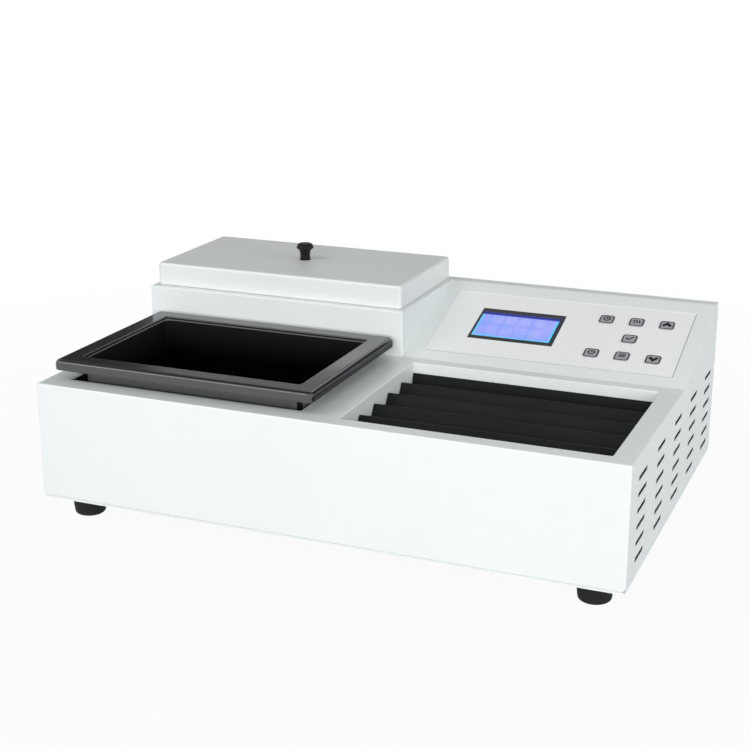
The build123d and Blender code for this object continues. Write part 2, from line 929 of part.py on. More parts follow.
with BuildPart() as chamber_gasket:
    with BuildSketch(Plane.XY.offset(rear_top)):
        with Locations((lid_x, lid_y)):
            for step, mode in ((gasket_step + gasket_width, Mode.ADD), (gasket_step, Mode.SUBTRACT)):
                RectangleRounded(
                    chamber_width + 2 * step,
                    chamber_length + 2 * step,
                    chamber_corner_radius + step,
                    mode=mode,
                )
    extrude(amount=gasket_height)
save(chamber_gasket, "chamber_gasket")

# Safety thermostats, one in the middle of each heated zone
with BuildPart() as safety_thermostats:
    for x, y, top in (
        (bath_x, bath_y, bath_mat_top),
        (rack_x, rack_y, rack_tray_bottom),
        (lid_x, lid_y, liner_bottom),
    ):
        with Locations((x, y, top - thermostat_height / 2)):
            Cylinder(thermostat_diameter / 2, thermostat_height)
save(safety_thermostats, "safety_thermostats")

# Lid: painted cap, inner tray that plugs the chamber, insulation between them
lid_bottom = rear_top + lid_seam
lid_top = lid_bottom + lid_height
lid_underside = lid_top - lid_sheet
with BuildPart() as lid_shell:
    with BuildSketch(Plane.XY.offset(lid_bottom)):
        with Locations((lid_x, lid_y)):
            RectangleRounded(lid_width, lid_depth, lid_corner_radius)
    extrude(amount=lid_height)
    fillet(lid_shell.faces().sort_by(Axis.Z)[-1].edges(), lid_edge_radius)
    offset(amount=-lid_sheet, openings=lid_shell.faces().sort_by(Axis.Z)[0])
    with Locations((lid_x, lid_y, lid_top - lid_sheet / 2)):
        Cylinder(fixing_radius, lid_sheet, mode=Mode.SUBTRACT)
save(lid_shell, "lid_shell")

tray_flange_bottom = rear_top + gasket_height
plug_bottom = tray_flange_bottom - plug_depth
plug_width = chamber_width - 2 * plug_gap
plug_length = chamber_length - 2 * plug_gap
plug_corner = chamber_corner_radius - plug_gap
with BuildPart() as lid_inner_tray:
    with BuildSketch(Plane.XY.offset(tray_flange_bottom)):
        with Locations((lid_x, lid_y)):
            RectangleRounded(
                lid_width - 2 * lid_sheet, lid_depth - 2 * lid_sheet, lid_corner_radius - lid_sheet
            )
    extrude(amount=tray_sheet)
    with BuildSketch(Plane.XY.offset(plug_bottom)):
        with Locations((lid_x, lid_y)):
            RectangleRounded(plug_width, plug_length, plug_corner)
    extrude(amount=plug_depth + tray_sheet)
    with BuildSketch(Plane.XY.offset(plug_bottom + tray_sheet)):
        with Locations((lid_x, lid_y)):
            RectangleRounded(
                plug_width - 2 * tray_sheet, plug_length - 2 * tray_sheet, plug_corner - tray_sheet
            )
    extrude(amount=plug_depth, mode=Mode.SUBTRACT)
save(lid_inner_tray, "lid_inner_tray")

with BuildPart() as lid_insulation:
    with BuildSketch(Plane.XY.offset(plug_bottom + tray_sheet)):
        with Locations((lid_x, lid_y)):
            RectangleRounded(
                plug_width - 2 * tray_sheet, plug_length - 2 * tray_sheet, plug_corner - tray_sheet
            )
    extrude(amount=lid_underside - plug_bottom - tray_sheet)
    with Locations((lid_x, lid_y, lid_underside - knob_screw_pocket / 4)):
        Cylinder(knob_screw_pocket / 2, knob_screw_pocket / 2, mode=Mode.SUBTRACT)
save(lid_insulation, "lid_insulation")

# Lid knob: a turned mushroom with a straight stem
knob_plane = Plane(origin=(lid_x, lid_y, lid_top), x_dir=(1, 0, 0), z_dir=(0, -1, 0))
stem_radius = knob_waist_diameter / 2
head_radius = knob_head_diameter / 2
with BuildPart() as lid_knob:
    with BuildSketch(knob_plane):
        with BuildLine():
            Polyline((0, 0), (knob_base_diameter / 2, 0), (stem_radius, knob_base_height))
            Line((stem_radius, knob_base_height), (stem_radius, knob_stem_height))
            ThreePointArc(
                (stem_radius, knob_stem_height),
                (
                    stem_radius + (head_radius - stem_radius) * 0.35,
                    knob_stem_height + (knob_head_height - knob_stem_height) * 0.65,
                ),
                (head_radius, knob_head_height),
            )
            Spline(
                (head_radius, knob_head_height),
                (head_radius - knob_dome_step, knob_head_height + 3 * knob_dome_step),
                (0, knob_height),
                tangents=((0, 1), (-1, 0)),
            )
            Line((0, knob_height), (0, 0))
        make_face()
    revolve(axis=Axis((lid_x, lid_y, lid_top), (0, 0, 1)))
    with Locations((lid_x, lid_y, lid_top + knob_thread_depth / 2)):
        Cylinder(m4_thread_diameter / 2, knob_thread_depth, mode=Mode.SUBTRACT)
save(lid_knob, "lid_knob")

# Base plate with weld nuts for the feet
foot_x = cabinet_width / 2 - foot_side_margin
foot_y = cabinet_depth / 2 - foot_end_margin
foot_places = {
    "foot_front_left": (-foot_x, -foot_y),
    "foot_front_right": (foot_x, -foot_y),
    "foot_rear_left": (-foot_x, foot_y),
    "foot_rear_right": (foot_x, foot_y),
}
bracket_side_y = (front + back) / 2
bracket_seats = [
    (-bracket_offset, front + sheet, 0),
    (bracket_offset, front + sheet, 0),
    (-bracket_offset, panel_inner, 180),
    (bracket_offset, panel_inner, 180),
    (left + sheet, bracket_side_y, -90),
    (right - sheet, bracket_side_y, 90),
]
bracket_holes = [
    (x - bracket_hole_inset * sin(radians(turn)), y + bracket_hole_inset * cos(radians(turn)))
    for x, y, turn in bracket_seats
]
with BuildPart() as base_plate:
    with BuildSketch(Plane.XY.offset(foot_height)):
        Rectangle(cabinet_width - 2 * base_inset, cabinet_depth - 2 * base_inset)
    extrude(amount=base_sheet)
    with BuildSketch(Plane.XY.offset(base_top)):
        with Locations(*foot_places.values()):
            RegularPolygon(weld_nut_radius, 6)
    extrude(amount=weld_nut_height)
    with BuildSketch(Plane.XY.offset(foot_height)):
        with Locations(*foot_places.values(), *bracket_holes):
            Circle(fixing_radius)
    extrude(amount=base_sheet + weld_nut_height, mode=Mode.SUBTRACT)
save(base_plate, "base_plate")

# Angle brackets welded to the walls, which the base plate is screwed to
with BuildPart() as base_brackets:
    for x, y, turn in bracket_seats:
        with Locations(Location((x, y, base_top), (0, 0, turn))):
            Box(
                bracket_length,
                bracket_leg,
                sheet,
                align=(Align.CENTER, Align.MIN, Align.MIN),
            )
            Box(
                bracket_length,
                sheet,
                bracket_leg,
                align=(Align.CENTER, Align.MIN, Align.MIN),
            )
    with BuildSketch(Plane.XY.offset(base_top)):
        with Locations(*bracket_holes):
            Circle(m4_thread_diameter / 2)
    extrude(amount=sheet, mode=Mode.SUBTRACT)
save(base_brackets, "base_brackets")

# Rubber feet with a pocket that hides the screw head
for name, (x, y) in foot_places.items():
    with BuildPart() as foot:
        with Locations((x, y, foot_height / 2)):
            Cone(foot_bottom_diameter / 2, foot_top_diameter / 2, foot_height)
        fillet(foot.edges().group_by(Axis.Z)[0], foot_sole_radius)
        with Locations((x, y, foot_pocket_depth / 2)):
            Cylinder(foot_pocket_diameter / 2, foot_pocket_depth, mode=Mode.SUBTRACT)
        with Locations((x, y, foot_height / 2)):
            Cylinder(fixing_radius, foot_height, mode=Mode.SUBTRACT)
    save(foot, name)


def screws(plane, places, head_diameter, head_height, shank_diameter, length):
    """Round-headed screws seated on a plane: heads behind it, shanks along its normal."""
    with BuildPart() as group:
        with BuildSketch(plane):
            with Locations(*places):
                Circle(head_diameter / 2)
        extrude(amount=-head_height)
        with BuildSketch(plane):
            with Locations(*places):
                Circle(shank_diameter / 2)
        extrude(amount=length)
    return group


foot_screws = screws(
    Plane.XY.offset(foot_pocket_depth),
    foot_places.values(),
    m4_head_diameter,
    m4_head_height,
    m4_shank_diameter,
    base_top + weld_nut_height - foot_pocket_depth,
)
save(foot_screws, "foot_screws")
base_screws = screws(
    Plane.XY.offset(foot_height),
    bracket_holes,
    m4_head_diameter,
    m4_head_height,
    m4_shank_diameter,
    base_sheet + sheet + m4_length_in,
)
save(base_screws, "base_screws")
knob_screw = screws(
    Plane.XY.offset(lid_underside),
    [(lid_x, lid_y)],
    m4_head_diameter,
    m4_head_height,
    m4_shank_diameter,
    lid_sheet + knob_thread_depth,
)
save(knob_screw, "knob_screw")

# Rear panel, set in from the rear edges of the cabinet
rear_plane = Plane.XZ.offset(-panel_rear)
inlet_x = right - inlet_side_margin
inlet_z = base_top + inlet_height
rocker_x = inlet_x - rocker_offset
inlet_screw_places = [
    (inlet_x - inlet_screw_spacing / 2, inlet_z),
    (inlet_x + inlet_screw_spacing / 2, inlet_z),
]
panel_screw_places = [(x, z) for x in (-panel_screw_x, panel_screw_x) for z in panel_screw_heights]
with BuildPart() as rear_panel:
    with BuildSketch(rear_plane):
        with Locations((0, (base_top + rear_top - sheet) / 2)):
            Rectangle(cabinet_width - 2 * sheet, rear_top - sheet - base_top)
        with Locations((inlet_x, inlet_z)):
            Rectangle(
                inlet_body_width + 2 * panel_fit_gap,
                inlet_body_height + 2 * panel_fit_gap,
                mode=Mode.SUBTRACT,
            )
        with Locations((rocker_x, inlet_z)):
            Rectangle(
                rocker_body_width + 2 * panel_fit_gap,
                rocker_body_height + 2 * panel_fit_gap,
                mode=Mode.SUBTRACT,
            )
        with Locations(*inlet_screw_places, *panel_screw_places):
            Circle(m3_clearance_diameter / 2, mode=Mode.SUBTRACT)
    extrude(amount=sheet)
save(rear_panel, "rear_panel")

with BuildPart() as panel_screws:
    for plane, places in (
        (rear_plane, panel_screw_places),
        (rear_plane.offset(-inlet_flange_thickness), inlet_screw_places),
    ):
        group = screws(
            plane, places, m3_head_diameter, m3_head_height, m3_shank_diameter, m3_length
        )
        add(group.part)
save(panel_screws, "panel_screws")

# Mains inlet: flange, socket with its three pins, and the slot of the fuse drawer above it
flange_face = panel_rear + inlet_flange_thickness
flange_plane = Plane.XZ.offset(-flange_face)
socket_z = inlet_z - inlet_socket_drop
drawer_z = inlet_z + drawer_rise
with BuildPart() as inlet_body:
    with BuildSketch(rear_plane):
        with Locations((inlet_x, inlet_z)):
            RectangleRounded(inlet_flange_width, inlet_flange_height, inlet_flange_corner)
    extrude(amount=-inlet_flange_thickness)
    with BuildSketch(rear_plane):
        with Locations((inlet_x, inlet_z)):
            Rectangle(inlet_body_width, inlet_body_height)
    extrude(amount=inlet_body_depth)
    with BuildSketch(flange_plane) as outline:
        with Locations((inlet_x, socket_z)):
            Rectangle(inlet_socket_width, inlet_socket_height)
        chamfer(outline.vertices().group_by(Axis.Y)[-1], inlet_chamfer)
    extrude(amount=inlet_socket_depth, mode=Mode.SUBTRACT)
    with BuildSketch(flange_plane):
        with Locations((inlet_x, drawer_z)):
            Rectangle(drawer_width + 2 * drawer_gap, drawer_height + 2 * drawer_gap)
    extrude(amount=drawer_depth + drawer_gap, mode=Mode.SUBTRACT)
    with BuildSketch(flange_plane):
        with Locations(*inlet_screw_places):
            Circle(m3_clearance_diameter / 2)
    extrude(amount=inlet_flange_thickness, mode=Mode.SUBTRACT)
save(inlet_body, "inlet_body")

socket_floor = Plane.XZ.offset(-(flange_face - inlet_socket_depth))
inlet_back = Plane.XZ.offset(-(panel_rear - inlet_body_depth))
pin_places = [
    (inlet_x - pin_spacing / 2, socket_z - pin_offset),
    (inlet_x, socket_z + pin_offset),
    (inlet_x + pin_spacing / 2, socket_z - pin_offset),
]
with BuildPart() as inlet_pins:
    with BuildSketch(socket_floor):
        with Locations(*pin_places):
            Rectangle(pin_width, pin_height)
    extrude(amount=-pin_length)
    with BuildSketch(inlet_back):
        with Locations(*pin_places):
            Rectangle(tab_thickness, tab_width)
    extrude(amount=tab_length)
save(inlet_pins, "inlet_pins")

# Fuse drawer with a pocket for its fuse
with BuildPart() as fuse_drawer:
    with BuildSketch(flange_plane):
        with Locations((inlet_x, drawer_z)):
            Rectangle(drawer_width, drawer_height)
    extrude(amount=drawer_depth)
    with BuildSketch(flange_plane.offset(-drawer_seam)):
        with Locations((inlet_x, drawer_z)):
            RectangleRounded(
                drawer_width + 2 * drawer_lip, drawer_height + 2 * drawer_lip, drawer_lip
            )
    extrude(amount=-drawer_lip)
    with Locations((inlet_x, flange_face, drawer_z)):
        Box(
            drawer_width,
            drawer_seam,
            drawer_height,
            align=(Align.CENTER, Align.MIN, Align.CENTER),
        )
    with Locations((inlet_x, flange_face - drawer_depth / 2, drawer_z + drawer_height / 2)):
        Box(
            fuse_diameter + 2 * drawer_gap,
            fuse_length + 2 * drawer_gap,
            fuse_diameter,
            align=(Align.CENTER, Align.CENTER, Align.MAX),
            mode=Mode.SUBTRACT,
        )
save(fuse_drawer, "fuse_drawer")
with BuildPart() as fuse:
    fuse_z = drawer_z + drawer_height / 2 - fuse_diameter / 2
    with Locations(Location((inlet_x, flange_face - drawer_depth / 2, fuse_z), (90, 0, 0))):
        Cylinder(fuse_diameter / 2, fuse_length)
save(fuse, "fuse")

# Rocker switch: frame clipped into the panel and a rocker on two stub shafts
rocker_face = panel_rear + rocker_flange_thickness
rocker_plane = Plane.XZ.offset(-rocker_face)
pivot_y = rocker_face - rocker_pivot_depth
window_half = rocker_sweep + rocker_gap
with BuildPart() as rocker_frame:
    with BuildSketch(rear_plane):
        with Locations((rocker_x, inlet_z)):
            RectangleRounded(rocker_flange_width, rocker_flange_height, rocker_flange_corner)
    extrude(amount=-rocker_flange_thickness)
    with BuildSketch(rear_plane):
        with Locations((rocker_x, inlet_z)):
            Rectangle(rocker_body_width, rocker_body_height)
    extrude(amount=rocker_body_depth)
    with BuildSketch(rocker_plane):
        with Locations((rocker_x, inlet_z)):
            Rectangle(2 * window_half, rocker_height + 2 * rocker_gap)
    extrude(amount=rocker_pivot_depth + window_half, mode=Mode.SUBTRACT)
    with Locations((rocker_x, pivot_y, inlet_z)):
        Cylinder(
            rocker_pivot_radius + rocker_pivot_play,
            rocker_height + 2 * rocker_gap + 2 * rocker_stub_length,
            mode=Mode.SUBTRACT,
        )
save(rocker_frame, "rocker_frame")

tilt = radians(rocker_tilt)
rocker_base = Plane(
    origin=(rocker_x, pivot_y, inlet_z - rocker_height / 2),
    x_dir=(cos(tilt), sin(tilt), 0),
    z_dir=(0, 0, 1),
)
rocker_half = rocker_width / 2
with BuildPart() as power_rocker:
    with BuildSketch(rocker_base):
        with BuildLine():
            Polyline(
                (-rocker_half, rocker_side),
                (-rocker_half, rocker_crown),
                (0, rocker_valley),
                (rocker_half, rocker_crown),
                (rocker_half, rocker_side),
                (rocker_half / 2, -rocker_half / 2),
                (-rocker_half / 2, -rocker_half / 2),
                close=True,
            )
        make_face()
    extrude(amount=rocker_height)
    with Locations((rocker_x, pivot_y, inlet_z)):
        Cylinder(rocker_pivot_radius, rocker_height + 2 * rocker_stub_length)
save(power_rocker, "power_rocker")
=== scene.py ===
"""Looks of the tissue flotation bath: finishes, key marks, lit display, studio and camera.

Lengths are in metres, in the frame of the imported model: X to the right, Y to the rear, Z up.
"""
from math import atan2, cos, pi, sin

import bmesh
import bpy
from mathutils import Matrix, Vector


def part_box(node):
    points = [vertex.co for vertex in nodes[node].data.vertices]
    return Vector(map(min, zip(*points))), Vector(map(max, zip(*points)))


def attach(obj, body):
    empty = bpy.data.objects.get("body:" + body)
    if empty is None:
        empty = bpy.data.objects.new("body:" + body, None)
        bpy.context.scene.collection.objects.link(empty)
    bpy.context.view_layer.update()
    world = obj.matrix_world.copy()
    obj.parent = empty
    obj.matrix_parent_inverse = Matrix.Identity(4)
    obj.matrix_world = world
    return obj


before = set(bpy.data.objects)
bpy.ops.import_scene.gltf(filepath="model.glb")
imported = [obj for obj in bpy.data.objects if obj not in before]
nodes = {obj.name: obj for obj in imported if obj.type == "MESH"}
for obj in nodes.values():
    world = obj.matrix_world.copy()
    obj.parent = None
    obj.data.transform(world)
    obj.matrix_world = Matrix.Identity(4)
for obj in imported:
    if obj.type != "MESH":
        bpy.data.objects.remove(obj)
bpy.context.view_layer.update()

MM = 0.001

# Slope of the keypad, from its foot on the deck, and the directions across, up and out of it
fascia_low, fascia_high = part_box("control_fascia")
deck_low, deck_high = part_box("deck_plate")
SLOPE_RUN = 131.0 * MM
SLOPE = atan2(fascia_high.z - deck_high.z, SLOPE_RUN)
SLOPE_FOOT = Vector((0.0, fascia_low.y, deck_high.z))
ACROSS = Vector((1.0, 0.0, 0.0))
UP_SLOPE = Vector((0.0, cos(SLOPE), sin(SLOPE)))
OUTWARD = Vector((0.0, -sin(SLOPE), cos(SLOPE)))


# Building shaders


def add_node(tree, kind, values=None, **settings):
    """Add a shader node, set its own settings, then fill its sockets with numbers or links."""
    made = tree.nodes.new(kind)
    for name, value in settings.items():
        setattr(made, name, value)
    for socket, value in (values or {}).items():
        if isinstance(value, bpy.types.NodeSocket):
            tree.links.new(value, made.inputs[socket])
        else:
            made.inputs[socket].default_value = value
    return made


def new_group(name, inputs, outputs):
    """An empty shader group with float inputs and outputs; returns it and its two end nodes."""
    group = bpy.data.node_groups.new(name, "ShaderNodeTree")
    for label, value in inputs.items():
        socket = group.interface.new_socket(label, in_out="INPUT", socket_type="NodeSocketFloat")
        socket.default_value = value
    for label in outputs:
        group.interface.new_socket(label, in_out="OUTPUT", socket_type="NodeSocketFloat")
    entry = group.nodes.new("NodeGroupInput")
    leave = group.nodes.new("NodeGroupOutput")
    return group, entry, leave


def stretch_range(tree, value, low, high, out_low=0.0, out_high=1.0):
    """Map a value from one range to another and clamp it."""
    made = add_node(
        tree,
        "ShaderNodeMapRange",
        {"Value": value, "From Min": low, "From Max": high, "To Min": out_low, "To Max": out_high},
    )
    return made.outputs["Result"]


def compute(tree, operation, first, second=None):
    """One step of arithmetic on numbers or links."""
    values = {0: first} if second is None else {0: first, 1: second}
    return add_node(tree, "ShaderNodeMath", values, operation=operation).outputs[0]


def multiply(tree, first, second):
    return compute(tree, "MULTIPLY", first, second)


def object_place(tree):
    return add_node(tree, "ShaderNodeTexCoord").outputs["Object"]


# Effects that several finishes share


def make_fine_grain():
    """Even fine grain with a slow drift of tone, as on powder coat and moulded plastic."""
    group, entry, leave = new_group(
        "fine_grain", {"Grain per Metre": 900.0, "Drift per Metre": 9.0}, ("Grain", "Drift")
    )
    place = object_place(group)
    grain = add_node(
        group,
        "ShaderNodeTexNoise",
        {"Vector": place, "Scale": entry.outputs["Grain per Metre"], "Detail": 3.0},
    )
    drift = add_node(
        group,
        "ShaderNodeTexNoise",
        {"Vector": place, "Scale": entry.outputs["Drift per Metre"], "Detail": 4.0},
    )
    group.links.new(stretch_range(group, grain.outputs["Fac"], 0.3, 0.7), leave.inputs["Grain"])
    group.links.new(stretch_range(group, drift.outputs["Fac"], 0.3, 0.7), leave.inputs["Drift"])
    return group


def make_brushed_lines():
    """Fine lines drawn along X, with slightly wavy spacing, as on brushed or rolled sheet."""
    group, entry, leave = new_group("brushed_lines", {"Lines per Metre": 2500.0}, ("Lines",))
    squeezed = add_node(
        group,
        "ShaderNodeMapping",
        {"Vector": object_place(group), "Scale": (0.012, 1.0, 1.0)},
    )
    lines = add_node(
        group,
        "ShaderNodeTexNoise",
        {
            "Vector": squeezed.outputs["Vector"],
            "Scale": entry.outputs["Lines per Metre"],
            "Detail": 2.0,
        },
    )
    group.links.new(stretch_range(group, lines.outputs["Fac"], 0.25, 0.75), leave.inputs["Lines"])
    return group


def make_settled_dust():
    """Dust that lies thinly on faces that look up, in soft uneven patches."""
    group, entry, leave = new_group(
        "settled_dust", {"Amount": 0.3, "Patches per Metre": 25.0}, ("Dust",)
    )
    normal = add_node(group, "ShaderNodeNewGeometry").outputs["Normal"]
    upward = add_node(group, "ShaderNodeSeparateXYZ", {0: normal}).outputs["Z"]
    facing = stretch_range(group, upward, 0.2, 1.0)
    patches = add_node(
        group,
        "ShaderNodeTexNoise",
        {
            "Vector": object_place(group),
            "Scale": entry.outputs["Patches per Metre"],
            "Detail": 6.0,
            "Roughness": 0.65,
        },
    )
    patchy = stretch_range(group, patches.outputs["Fac"], 0.35, 0.75)
    dust = multiply(group, multiply(group, facing, patchy), entry.outputs["Amount"])
    group.links.new(dust, leave.inputs["Dust"])
    return group


def make_hand_smears():
    """Wide faint smears left by wiping, drawn out in one direction."""
    group, entry, leave = new_group("hand_smears", {"Smears per Metre": 14.0}, ("Smears",))
    turned = add_node(
        group,
        "ShaderNodeMapping",
        {"Vector": object_place(group), "Rotation": (0.3, 0.2, 0.7), "Scale": (0.35, 1.0, 1.0)},
    )
    smears = add_node(
        group,
        "ShaderNodeTexNoise",
        {
            "Vector": turned.outputs["Vector"],
            "Scale": entry.outputs["Smears per Metre"],
            "Detail": 7.0,
            "Roughness": 0.6,
        },
    )
    group.links.new(stretch_range(group, smears.outputs["Fac"], 0.35, 0.7), leave.inputs["Smears"])
    return group


def make_box_mask():
    """One inside an upright box with soft faces; sides that aren't given lie far out."""
    sizes = {
        "Middle X": 0.0,
        "Middle Y": 0.0,
        "Half Width": 1.0,
        "Half Length": 1.0,
        "Bottom": -1.0,
        "Top": 1.0,
        "Fade": 0.001,
    }
    group, entry, leave = new_group("box_mask", sizes, ("Inside",))
    place = add_node(group, "ShaderNodeSeparateXYZ", {0: object_place(group)}).outputs

    def over(high, low):
        """How far one value is over another, from nothing up to one at the fade's depth."""
        rise = compute(group, "SUBTRACT", high, low)
        return stretch_range(group, rise, 0.0, entry.outputs["Fade"])

    def within(axis, middle, half):
        offset = compute(group, "SUBTRACT", place[axis], entry.outputs[middle])
        return over(entry.outputs[half], compute(group, "ABSOLUTE", offset))

    across = within("X", "Middle X", "Half Width")
    along = within("Y", "Middle Y", "Half Length")
    below = over(entry.outputs["Top"], place["Z"])
    above = over(place["Z"], entry.outputs["Bottom"])
    inside = multiply(group, multiply(group, across, along), multiply(group, below, above))
    group.links.new(inside, leave.inputs["Inside"])
    return group


FINE_GRAIN = make_fine_grain()
BRUSHED_LINES = make_brushed_lines()
SETTLED_DUST = make_settled_dust()
HAND_SMEARS = make_hand_smears()
BOX_MASK = make_box_mask()


def use_group(tree, group, **values):
    """Place a shared effect in a material; underscores in a value's name stand for spaces."""
    made = tree.nodes.new("ShaderNodeGroup")
    made.node_tree = group
    for name, value in values.items():
        made.inputs[name.replace("_", " ")].default_value = value
    return made.outputs


def inside_box(material, **box):
    """A mask for the part of a material that lies in an upright box; sizes as in the group."""
    return use_group(material.node_tree, BOX_MASK, **box)["Inside"]


# Kinds of finish


def main_shader(material):
    return material.node_tree.nodes["Principled BSDF"]


def new_material(name):
    material = bpy.data.materials.new(name)
    material.use_nodes = True
    return material, material.node_tree, main_shader(material)


def blend_colour(tree, first, second, factor):
    """Mix two colours by a mask; either may be a link."""
    made = tree.nodes.new("ShaderNodeMix")
    made.data_type = "RGBA"
    for socket, value in ((6, first), (7, second)):
        if isinstance(value, bpy.types.NodeSocket):
            tree.links.new(value, made.inputs[socket])
        else:
            made.inputs[socket].default_value = (*value, 1.0)
    tree.links.new(factor, made.inputs[0])
    return made.outputs[2]


def blend_by_mask(material, mask, colour, rough):
    """Blend a finish's colour and roughness towards other values where the mask is one."""
    tree, shader = material.node_tree, main_shader(material)
    was = shader.inputs["Base Color"].links[0].from_socket
    tree.links.new(blend_colour(tree, was, colour, mask), shader.inputs["Base Color"])
    before = shader.inputs["Roughness"].links[0].from_socket
    tree.links.new(
        stretch_range(tree, mask, 0.0, 1.0, before, rough), shader.inputs["Roughness"]
    )


def raise_bump(tree, shader, height, strength, distance):
    bump = add_node(
        tree,
        "ShaderNodeBump",
        {"Height": height, "Strength": strength, "Distance": distance},
    )
    tree.links.new(bump.outputs["Normal"], shader.inputs["Normal"])


DUST_COLOUR = (0.5, 0.49, 0.47)


def coated(name, light, dark, rough, grain, bump, coat=0.0, metallic=0.0, dust=0.0, gloss=0.5):
    """Paint, plastic or rubber: drifting colour, grain, faint smears and settled dust.

    light and dark are the ends of the colour drift, rough the ends of the roughness, grain the
    texture's count per metre, bump its depth in metres and gloss the specular level.
    """
    material, tree, shader = new_material(name)
    texture = use_group(tree, FINE_GRAIN, Grain_per_Metre=grain)
    smears = use_group(tree, HAND_SMEARS)["Smears"]
    colour = blend_colour(tree, dark, light, texture["Drift"])
    if dust:
        layer = use_group(tree, SETTLED_DUST, Amount=dust)["Dust"]
        colour = blend_colour(tree, colour, DUST_COLOUR, layer)
    tree.links.new(colour, shader.inputs["Base Color"])
    tree.links.new(stretch_range(tree, smears, 0.0, 1.0, *rough), shader.inputs["Roughness"])
    raise_bump(tree, shader, texture["Grain"], 1.0, bump)
    shader.inputs["Metallic"].default_value = metallic
    shader.inputs["Coat Weight"].default_value = coat
    shader.inputs["Specular IOR Level"].default_value = gloss
    return material


def metal(name, light, dark, rough, lines, bump):
    """Bare metal with drawn lines, so many to the metre, and a slow drift of tone."""
    material, tree, shader = new_material(name)
    drawn = use_group(tree, BRUSHED_LINES, Lines_per_Metre=lines)["Lines"]
    drift = use_group(tree, FINE_GRAIN)["Drift"]
    colour = blend_colour(tree, dark, light, drift)
    tree.links.new(colour, shader.inputs["Base Color"])
    tree.links.new(stretch_range(tree, drawn, 0.0, 1.0, *rough), shader.inputs["Roughness"])
    raise_bump(tree, shader, drawn, 1.0, bump)
    shader.inputs["Metallic"].default_value = 1.0
    return material


# Painted light and shade on the parts of a piece, told apart by their places in the frame


def paint_hollow_shade(material):
    """Painted shade: near-black faces inside the cabinet, so that the louvres show dark."""
    sheet, edge = 1.5 * MM, 0.3 * MM
    into_rear, under_deck = 0.8 * MM, 0.2 * MM
    hollow = inside_box(
        material,
        Half_Width=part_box("right_side_panel")[1].x - edge,
        Half_Length=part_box("rear_panel")[0].y + into_rear,
        Bottom=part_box("base_plate")[0].z + sheet,
        Top=deck_low.z - under_deck,
        Fade=edge,
    )
    # Near-black colour that stands in for the shade inside the cabinet
    blend_by_mask(material, hollow, (0.02, 0.022, 0.022), 0.8)


def shade_film_edges(material):
    """Painted shade along the lower edge, painted light along the upper edge and a painted shadow
    along the right edge of the keypad's film.
    """
    low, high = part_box("keypad_overlay")
    lower, upper, right, fade = 0.5 * MM, 0.7 * MM, 0.6 * MM, 0.1 * MM
    for box, colour in (
        ({"Top": low.z + lower}, (0.42, 0.44, 0.44)),
        ({"Bottom": high.z - upper}, (0.95, 0.97, 0.97)),
        ({"Middle_X": high.x, "Half_Width": right}, (0.30, 0.32, 0.32)),
    ):
        blend_by_mask(material, inside_box(material, Fade=fade, **box), colour, 0.5)


def paint_pan_light_and_shade(material):
    """Painted light on the body, painted shade in the hollow that grows darker towards its bottom,
    a painted highlight on the ledge and painted shade with less coat on the right side.
    """
    rim_width, rim_length, fade = 18.2 * MM, 18.3 * MM, 0.3 * MM
    side_width, corner, dark_fade = 12.5 * MM, 3.0 * MM, 32.0 * MM
    coat_inside, coat_right = 0.14, 0.4
    # Depths under the pan's top edge, in millimetres
    body_depth, dark_depth, side_depth = 9.7, 2.2, 1.7
    ledge_bottom, ledge_top = 3.2, 1.9
    step_bottom, step_top = 2.1, 0.3

    tree, shader = material.node_tree, main_shader(material)
    low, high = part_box("bath_pan")
    middle, half = (low + high) / 2, (high - low) / 2
    inside = {
        "Middle_X": middle.x,
        "Middle_Y": middle.y,
        "Half_Width": half.x - rim_width,
        "Half_Length": half.y - rim_length,
        "Fade": fade,
    }

    def under_top(depth):
        """A height, from its depth in millimetres under the pan's top edge."""
        return high.z - depth * MM

    # Painted light: the body below the rim is made greyer than the coating's own black
    body = inside_box(material, Top=under_top(body_depth), Fade=fade)
    blend_by_mask(material, body, (0.100, 0.103, 0.103), 0.5)

    # Painted shade: the hollow inside the rim is made darker than the coating
    below = inside_box(material, Top=under_top(ledge_bottom), **inside)
    above = inside_box(
        material, Bottom=under_top(step_bottom), Top=under_top(step_top), **inside
    )
    hollow = compute(tree, "MAXIMUM", below, above)
    blend_by_mask(material, hollow, (0.011, 0.012, 0.012), 0.6)
    # Painted shade that grows darker towards the bottom of the hollow
    deep_shade = inside_box(material, Top=under_top(dark_depth), Fade=dark_fade)
    blend_by_mask(material, multiply(tree, hollow, deep_shade), (0.001, 0.001, 0.001), 0.6)

    # Painted highlight along the inner ledge
    ledge = inside_box(
        material, Bottom=under_top(ledge_bottom), Top=under_top(ledge_top), **inside
    )
    blend_by_mask(material, ledge, (0.165, 0.170, 0.170), 0.4)

    # Painted shade: the pan's right side is made darker, with less coat
    right_side = inside_box(
        material,
        Middle_X=high.x,
        Middle_Y=middle.y,
        Half_Width=side_width,
        Half_Length=half.y - corner,
        Top=under_top(side_depth),
        Fade=corner,
    )
    blend_by_mask(material, right_side, (0.012, 0.013, 0.013), 0.4)

    inside_coat = stretch_range(tree, hollow, 0.0, 1.0, 1.0, coat_inside)
    right_coat = stretch_range(tree, right_side, 0.0, 1.0, 1.0, coat_right)
    tree.links.new(multiply(tree, inside_coat, right_coat), shader.inputs["Coat Weight"])
    shader.inputs["Coat Roughness"].default_value = 0.16
    shader.inputs["Coat IOR"].default_value = 1.9


def light_window_lip(material):
    """Painted light: the lit face's glow on the upper lip of the bezel's window."""
    shift_left, half_width = 1.1 * MM, 36.6 * MM
    lip_bottom, lip_top, fade = 2.4 * MM, 1.5 * MM, 0.2 * MM
    low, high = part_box("display_bezel")
    glow = inside_box(
        material,
        Middle_X=(low.x + high.x) / 2 - shift_left,
        Half_Width=half_width,
        Bottom=high.z - lip_bottom,
        Top=high.z - lip_top,
        Fade=fade,
    )
    blend_by_mask(material, glow, (0.03, 0.04, 0.28), 0.4)


# Finishes

